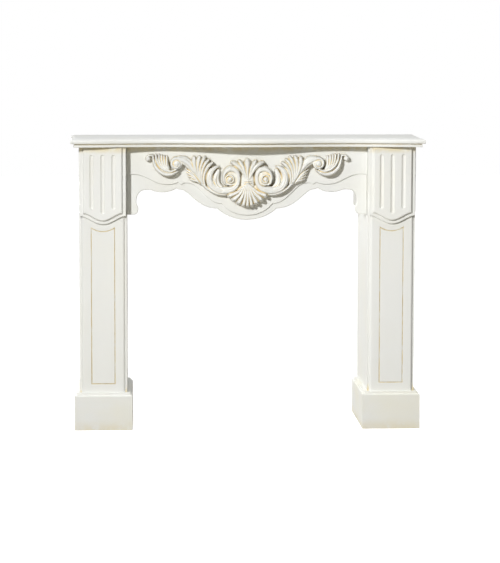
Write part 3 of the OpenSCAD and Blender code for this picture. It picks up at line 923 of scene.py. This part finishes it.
def make_ornament():
    """Turns the heights into one closed casting, both halves together."""
    great_scroll()
    fanned_leaves()
    small_scroll()
    crescent()
    shell_and_plume()
    inside = relief > RIM_H
    soft = blurred(relief, 0.75)
    tall = np.where(inside, np.maximum(soft, RIM_H), 0)
    lines = np.clip((blurred(tall, LINE_REACH / CELL) - tall) / LINE_DEPTH, 0, 1)
    gaps = np.clip((blurred(tall, GAP_REACH / CELL) - tall) / GAP_DEPTH, 0, 1)
    hollow = blurred(np.maximum(lines, 0.9 * gaps), 0.6)
    both = np.concatenate([tall[:, :0:-1], tall], 1)
    shade = np.concatenate([hollow[:, :0:-1], hollow], 1)
    filled = np.concatenate([inside[:, :0:-1], inside], 1)
    cells = filled[:-1, :-1] | filled[1:, :-1] | filled[:-1, 1:] | filled[1:, 1:]
    fill_pinches(cells)
    front_id = -np.ones(both.shape, int)
    used = np.zeros(both.shape, bool)
    used[:-1, :-1] |= cells
    used[1:, :-1] |= cells
    used[:-1, 1:] |= cells
    used[1:, 1:] |= cells
    front_id[used] = np.arange(used.sum())
    zs, xs = np.nonzero(used)
    x = (xs - (columns - 1)) * CELL
    z = top_z - ORNAMENT_DROP + LOWEST + zs * CELL
    # points round the rim lie a little inside the field, so that no gap shows
    y = field_y - np.where(filled[zs, xs], both[zs, xs], -SUNK)
    verts = np.stack([x, y, z], 1) * MM
    r, c = np.nonzero(cells)
    quads = np.stack([front_id[r, c], front_id[r, c + 1], front_id[r + 1, c + 1], front_id[r + 1, c]], 1)
    mesh = bpy.data.meshes.new("carved_shell_and_scrolls")
    mesh.from_pydata(verts.tolist(), [], quads.tolist() + back_faces(cells, front_id))
    tint = mesh.attributes.new("hollow", "FLOAT", "POINT")
    tint.data.foreach_set("value", shade[zs, xs].astype(np.float32))
    mesh.materials.append(CASTING)
    mesh.shade_smooth()
    piece = add_object("carved_shell_and_scrolls", mesh)
    stand_for(piece, "gilded_casting", "carved_ornament")


# ------------------------------------------------------------------ camera, light, floor

# Places in this section are in metres.


def make_stage():
    """A floor that looks white but reflects less light."""
    floor_size = 14
    mesh = bpy.data.meshes.new("studio_floor")
    mesh.from_pydata([(x * floor_size, y * floor_size, 0) for x, y in
                      ((-1, -1), (1, -1), (1, 1), (-1, 1))], [], [(0, 1, 2, 3)])
    floor = add_object("studio_floor", mesh)
    material = bpy.data.materials.new("pale_floor")
    material.use_nodes = True
    nodes, links = material.node_tree.nodes, material.node_tree.links
    bounce = nodes["Principled BSDF"]
    bounce.inputs["Base Color"].default_value = (0.30, 0.283, 0.24, 1)
    bounce.inputs["Roughness"].default_value = 0.9
    paper = nodes.new("ShaderNodeBsdfPrincipled")
    paper.inputs["Base Color"].default_value = (0.80, 0.80, 0.80, 1)
    paper.inputs["Roughness"].default_value = 0.9
    paper.inputs["Emission Color"].default_value = (1, 1, 1, 1)
    paper.inputs["Emission Strength"].default_value = 0.72
    choose = nodes.new("ShaderNodeMixShader")
    links.new(nodes.new("ShaderNodeLightPath").outputs["Is Camera Ray"], choose.inputs[0])
    links.new(bounce.outputs[0], choose.inputs[1])
    links.new(paper.outputs[0], choose.inputs[2])
    links.new(choose.outputs[0], nodes["Material Output"].inputs["Surface"])
    mesh.materials.append(material)


def aim(thing, direction):
    """Turns a lamp or camera to look along the direction."""
    thing.rotation_mode = "QUATERNION"
    thing.rotation_quaternion = direction.to_track_quat("-Z", "Y")


def make_light(name, place, target, size, power):
    """A round soft lamp at place that shines at target."""
    light = bpy.data.lights.new(name, "AREA")
    light.shape = "DISK"
    light.size = size
    light.energy = power
    lamp = add_object(name, light)
    lamp.location = place
    aim(lamp, Vector(target) - Vector(place))


def make_sun(name, target, strength, spread):
    """An even light that shines along target, softened over the given spread in degrees."""
    light = bpy.data.lights.new(name, "SUN")
    light.energy = strength
    light.angle = math.radians(spread)
    aim(add_object(name, light), Vector(target))


def make_studio():
    """World, colour view and lamps."""
    scene = bpy.context.scene
    world = bpy.data.worlds.new("studio")
    world.use_nodes = True
    nodes, links = world.node_tree.nodes, world.node_tree.links
    sky = nodes["Background"]
    sky.inputs["Color"].default_value = (1, 0.985, 0.96, 1)
    sky.inputs["Strength"].default_value = 0.10
    paper = nodes.new("ShaderNodeBackground")
    paper.inputs["Color"].default_value = (1, 1, 1, 1)
    paper.inputs["Strength"].default_value = 1.0
    seen = nodes.new("ShaderNodeLightPath")
    choose = nodes.new("ShaderNodeMixShader")
    sheen = maths(nodes, links, "MULTIPLY", seen.outputs["Is Glossy Ray"], 0.85)
    links.new(maths(nodes, links, "MAXIMUM", seen.outputs["Is Camera Ray"], sheen), choose.inputs[0])
    links.new(sky.outputs[0], choose.inputs[1])
    links.new(paper.outputs[0], choose.inputs[2])
    links.new(choose.outputs[0], nodes["World Output"].inputs["Surface"])
    scene.world = world
    scene.view_settings.view_transform = "Standard"
    # the key lamp is turned past the object, so both legs are lit alike
    make_light("key", (-1.45, -2.9, 2.1), (0.95, -3.1, 0.4), 0.2, 206)
    make_light("back", (-1.7, 1.9, 0.9), (0.42, 0, 0.5), 1.2, 50)
    make_light("side", (2.6, 1.3, 1.0), (0.6, 0.1, 0.5), 1.2, 17)
    make_sun("overhead", (0, 0.05, -1), 1.25, 60)


def make_camera():
    """The eye stands a little left of the middle, above the shelf."""
    data = bpy.data.cameras.new("camera")
    data.lens = 118.36
    data.shift_x = 0.08
    data.shift_y = -0.14
    camera = add_object("camera", data)
    camera.location = (-0.3571, -6.5383, 1.2888)
    turn = math.radians(-1.861)
    tip = math.radians(-4.394)
    look = Vector((-math.sin(turn) * math.cos(tip), math.cos(turn) * math.cos(tip), math.sin(tip)))
    aim(camera, look)
    bpy.context.scene.camera = camera


make_camera()
make_stage()
make_studio()
make_shelf()
make_frieze()
for leg_side in SIDE_NAMES:
    make_pilaster(leg_side)
    make_plinth(leg_side)
    make_capital(leg_side)
finish_plain_boards()
make_ornament()
